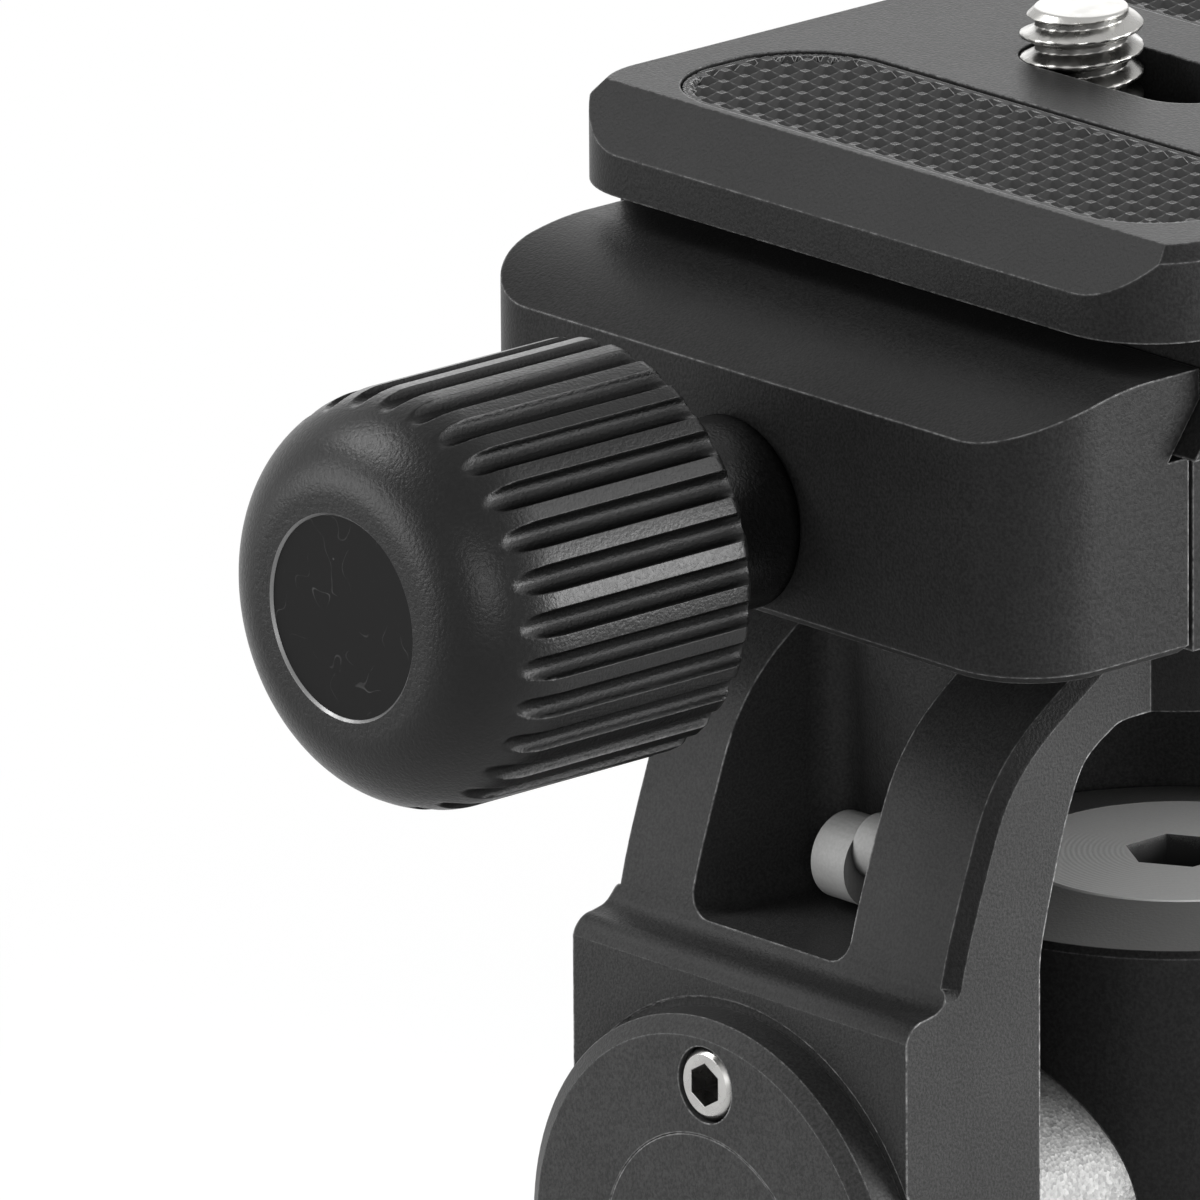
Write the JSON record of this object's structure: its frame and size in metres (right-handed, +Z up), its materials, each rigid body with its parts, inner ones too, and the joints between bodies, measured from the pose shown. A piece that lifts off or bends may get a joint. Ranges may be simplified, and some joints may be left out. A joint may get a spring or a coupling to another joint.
{
  "type": "pan tilt head",
  "caption": "Camera head: a dovetail plate clamp on a tilting arched yoke, over a round post that turns on a flat foot with a tripod thread.",
  "frame": {"origin": "on the pan axis at the flat underside of the foot, at the mouth of the tripod thread", "axes": "+Z up along the pan axis; X along the tilt axle and the clamp knob, with the clamp knob towards -X; the camera screw stands in the +Y half of the plate and the yoke tilts towards +Y"},
  "size_m": [0.1101, 0.0745, 0.0986],
  "materials": {
    "anodised_black": "bead-blasted, black anodised",
    "cap_black": "smooth black anodised",
    "rubber": "moulded diamond grip",
    "bright_steel": "turned steel",
    "grey_anodised": "bead-blasted, grey anodised",
    "bronze": "turned bearing bronze",
    "nylon": "plain moulded nylon"
  },
  "bodies": {
    "base": {"base_foot": "anodised_black", "pan_boss": "anodised_black", "foot_insert": "bright_steel", "thrust_washer": "nylon", "spindle_bolt": "bright_steel", "spindle_washer": "bright_steel"},
    "pan": {"post": "anodised_black", "post_cap": "grey_anodised", "hub_collar_left": "grey_anodised", "hub_collar_right": "grey_anodised", "axle_bush_left": "bronze", "axle_bush_right": "bronze"},
    "pan_brake": {"brake_shoe": "bronze"},
    "pan_knob": {"pan_knob": "anodised_black", "pan_knob_cap": "cap_black", "pan_screw": "bright_steel"},
    "yoke": {"yoke": "anodised_black", "stop_pin": "grey_anodised", "tilt_axle": "bright_steel", "disc_cover": "anodised_black", "disc_inlay": "cap_black", "cover_screw": "bright_steel", "clamp_body": "anodised_black", "clamp_bolt": "bright_steel", "clamp_dowels": "bright_steel", "guide_pins": "bright_steel"},
    "tilt_washer": {"tilt_washer": "bright_steel"},
    "tilt_knob": {"tilt_knob": "anodised_black", "tilt_knob_insert": "bright_steel", "tilt_knob_cap": "cap_black"},
    "jaw": {"jaw": "anodised_black"},
    "clamp_knob": {"clamp_knob": "anodised_black", "clamp_knob_cap": "cap_black", "clamp_screw": "bright_steel"},
    "plate": {"plate": "anodised_black", "pad_left": "rubber", "pad_right": "rubber"},
    "screw_guide": {"screw_guide": "bronze"},
    "camera_screw": {"camera_screw": "bright_steel"}
  },
  "joints": [
    {"name": "pan_turn", "type": "hinge", "parent": "base", "child": "pan", "pos_m": [0, 0, 0.012], "axis": [0, 0, 1], "continuous": true},
    {"name": "pan_brake_slide", "type": "slide", "parent": "pan", "child": "pan_brake", "axis": [0, -1, 0], "range_m": [0, 0.001]},
    {"name": "pan_lock_turn", "type": "hinge", "parent": "pan_brake", "child": "pan_knob", "pos_m": [0, -0.035, 0.012], "axis": [0, -1, 0], "range_deg": [0, 361]},
    {"name": "tilt", "type": "hinge", "parent": "pan", "child": "yoke", "pos_m": [0, 0, 0.0395], "axis": [-1, 0, 0], "range_deg": [-2, 85]},
    {"name": "tilt_washer_slide", "type": "slide", "parent": "yoke", "child": "tilt_washer", "axis": [1, 0, 0], "range_m": [0, 0.00125]},
    {"name": "tilt_lock_turn", "type": "hinge", "parent": "tilt_washer", "child": "tilt_knob", "pos_m": [0.04, 0, 0.0395], "axis": [1, 0, 0], "range_deg": [0, 361]},
    {"name": "jaw_slide", "type": "slide", "parent": "yoke", "child": "jaw", "axis": [-1, 0, 0], "range_m": [0, 0.004]},
    {"name": "clamp_turn", "type": "hinge", "parent": "jaw", "child": "clamp_knob", "pos_m": [-0.045, 0, 0.0797], "axis": [-1, 0, 0], "range_deg": [0, 1441]},
    {"name": "plate_slide", "type": "slide", "parent": "yoke", "child": "plate", "axis": [0, 1, 0], "range_m": [-0.012, 0.012]},
    {"name": "screw_slide", "type": "slide", "parent": "plate", "child": "screw_guide", "axis": [0, 1, 0], "range_m": [-0.008, 0]},
    {"name": "camera_screw_turn", "type": "hinge", "parent": "screw_guide", "child": "camera_screw", "pos_m": [0, 0.00725, 0.09], "axis": [0, 0, 1], "continuous": true}
  ],
  "couplings": [
    {"joint": "pan_lock_turn", "follows": "pan_brake_slide", "rad_per_m": 6283.2},
    {"joint": "tilt_lock_turn", "follows": "tilt_washer_slide", "rad_per_m": 5026.5},
    {"joint": "clamp_turn", "follows": "jaw_slide", "rad_per_m": 6283.2}
  ]
}
